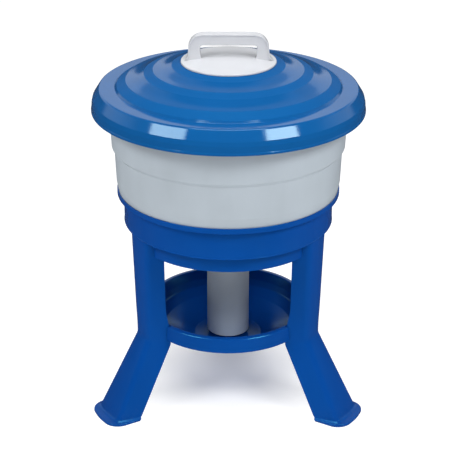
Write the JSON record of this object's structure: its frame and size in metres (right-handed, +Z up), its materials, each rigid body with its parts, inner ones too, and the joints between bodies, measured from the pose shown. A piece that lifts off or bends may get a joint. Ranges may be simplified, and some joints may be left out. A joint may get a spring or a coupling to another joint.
{
  "type": "poultry feeder",
  "caption": "Gravity poultry feeder: round hopper with a lift-off domed lid and carrying handle, on a funnel base with splayed legs that hold a round feed tray.",
  "frame": {"origin": "on the ground, at the centre of the feeder's bounding box; the feeder's own turning axis stands 13.5 mm in front of it, because one leg points straight back", "axes": "+Z up; -Y towards the side between the two front legs; +X to the viewer's right when facing that side"},
  "size_m": [0.431, 0.447, 0.6012],
  "materials": {
    "blue": "glossy moulded plastic",
    "grey": "satin moulded plastic with a fine grain",
    "white": "smooth moulded plastic",
    "steel": "zinc plated"
  },
  "bodies": {
    "base": {"hopper_base": "blue", "leg_left": "blue", "leg_right": "blue", "leg_rear": "blue", "leg_screw_left_1": "steel", "leg_screw_left_2": "steel", "leg_screw_right_1": "steel", "leg_screw_right_2": "steel", "leg_screw_rear_1": "steel", "leg_screw_rear_2": "steel", "tray": "blue", "tray_screw_left": "steel", "tray_screw_right": "steel", "tray_screw_rear": "steel"},
    "hopper": {"hopper": "grey"},
    "lid": {"lid": "blue", "lid_handle": "white", "handle_screw_1": "steel", "handle_screw_2": "steel", "handle_screw_3": "steel", "handle_screw_4": "steel"},
    "feed_tube": {"feed_tube": "grey"}
  },
  "joints": [
    {"name": "hopper_lift", "type": "slide", "parent": "base", "child": "hopper", "axis": [0, 0, 1], "range_m": [0, 0.2]},
    {"name": "lid_lift", "type": "slide", "parent": "hopper", "child": "lid", "axis": [0, 0, 1], "range_m": [0, 0.15]},
    {"name": "feed_tube_height", "type": "slide", "parent": "base", "child": "feed_tube", "axis": [0, 0, 1], "range_m": [-0.005, 0.018]}
  ]
}
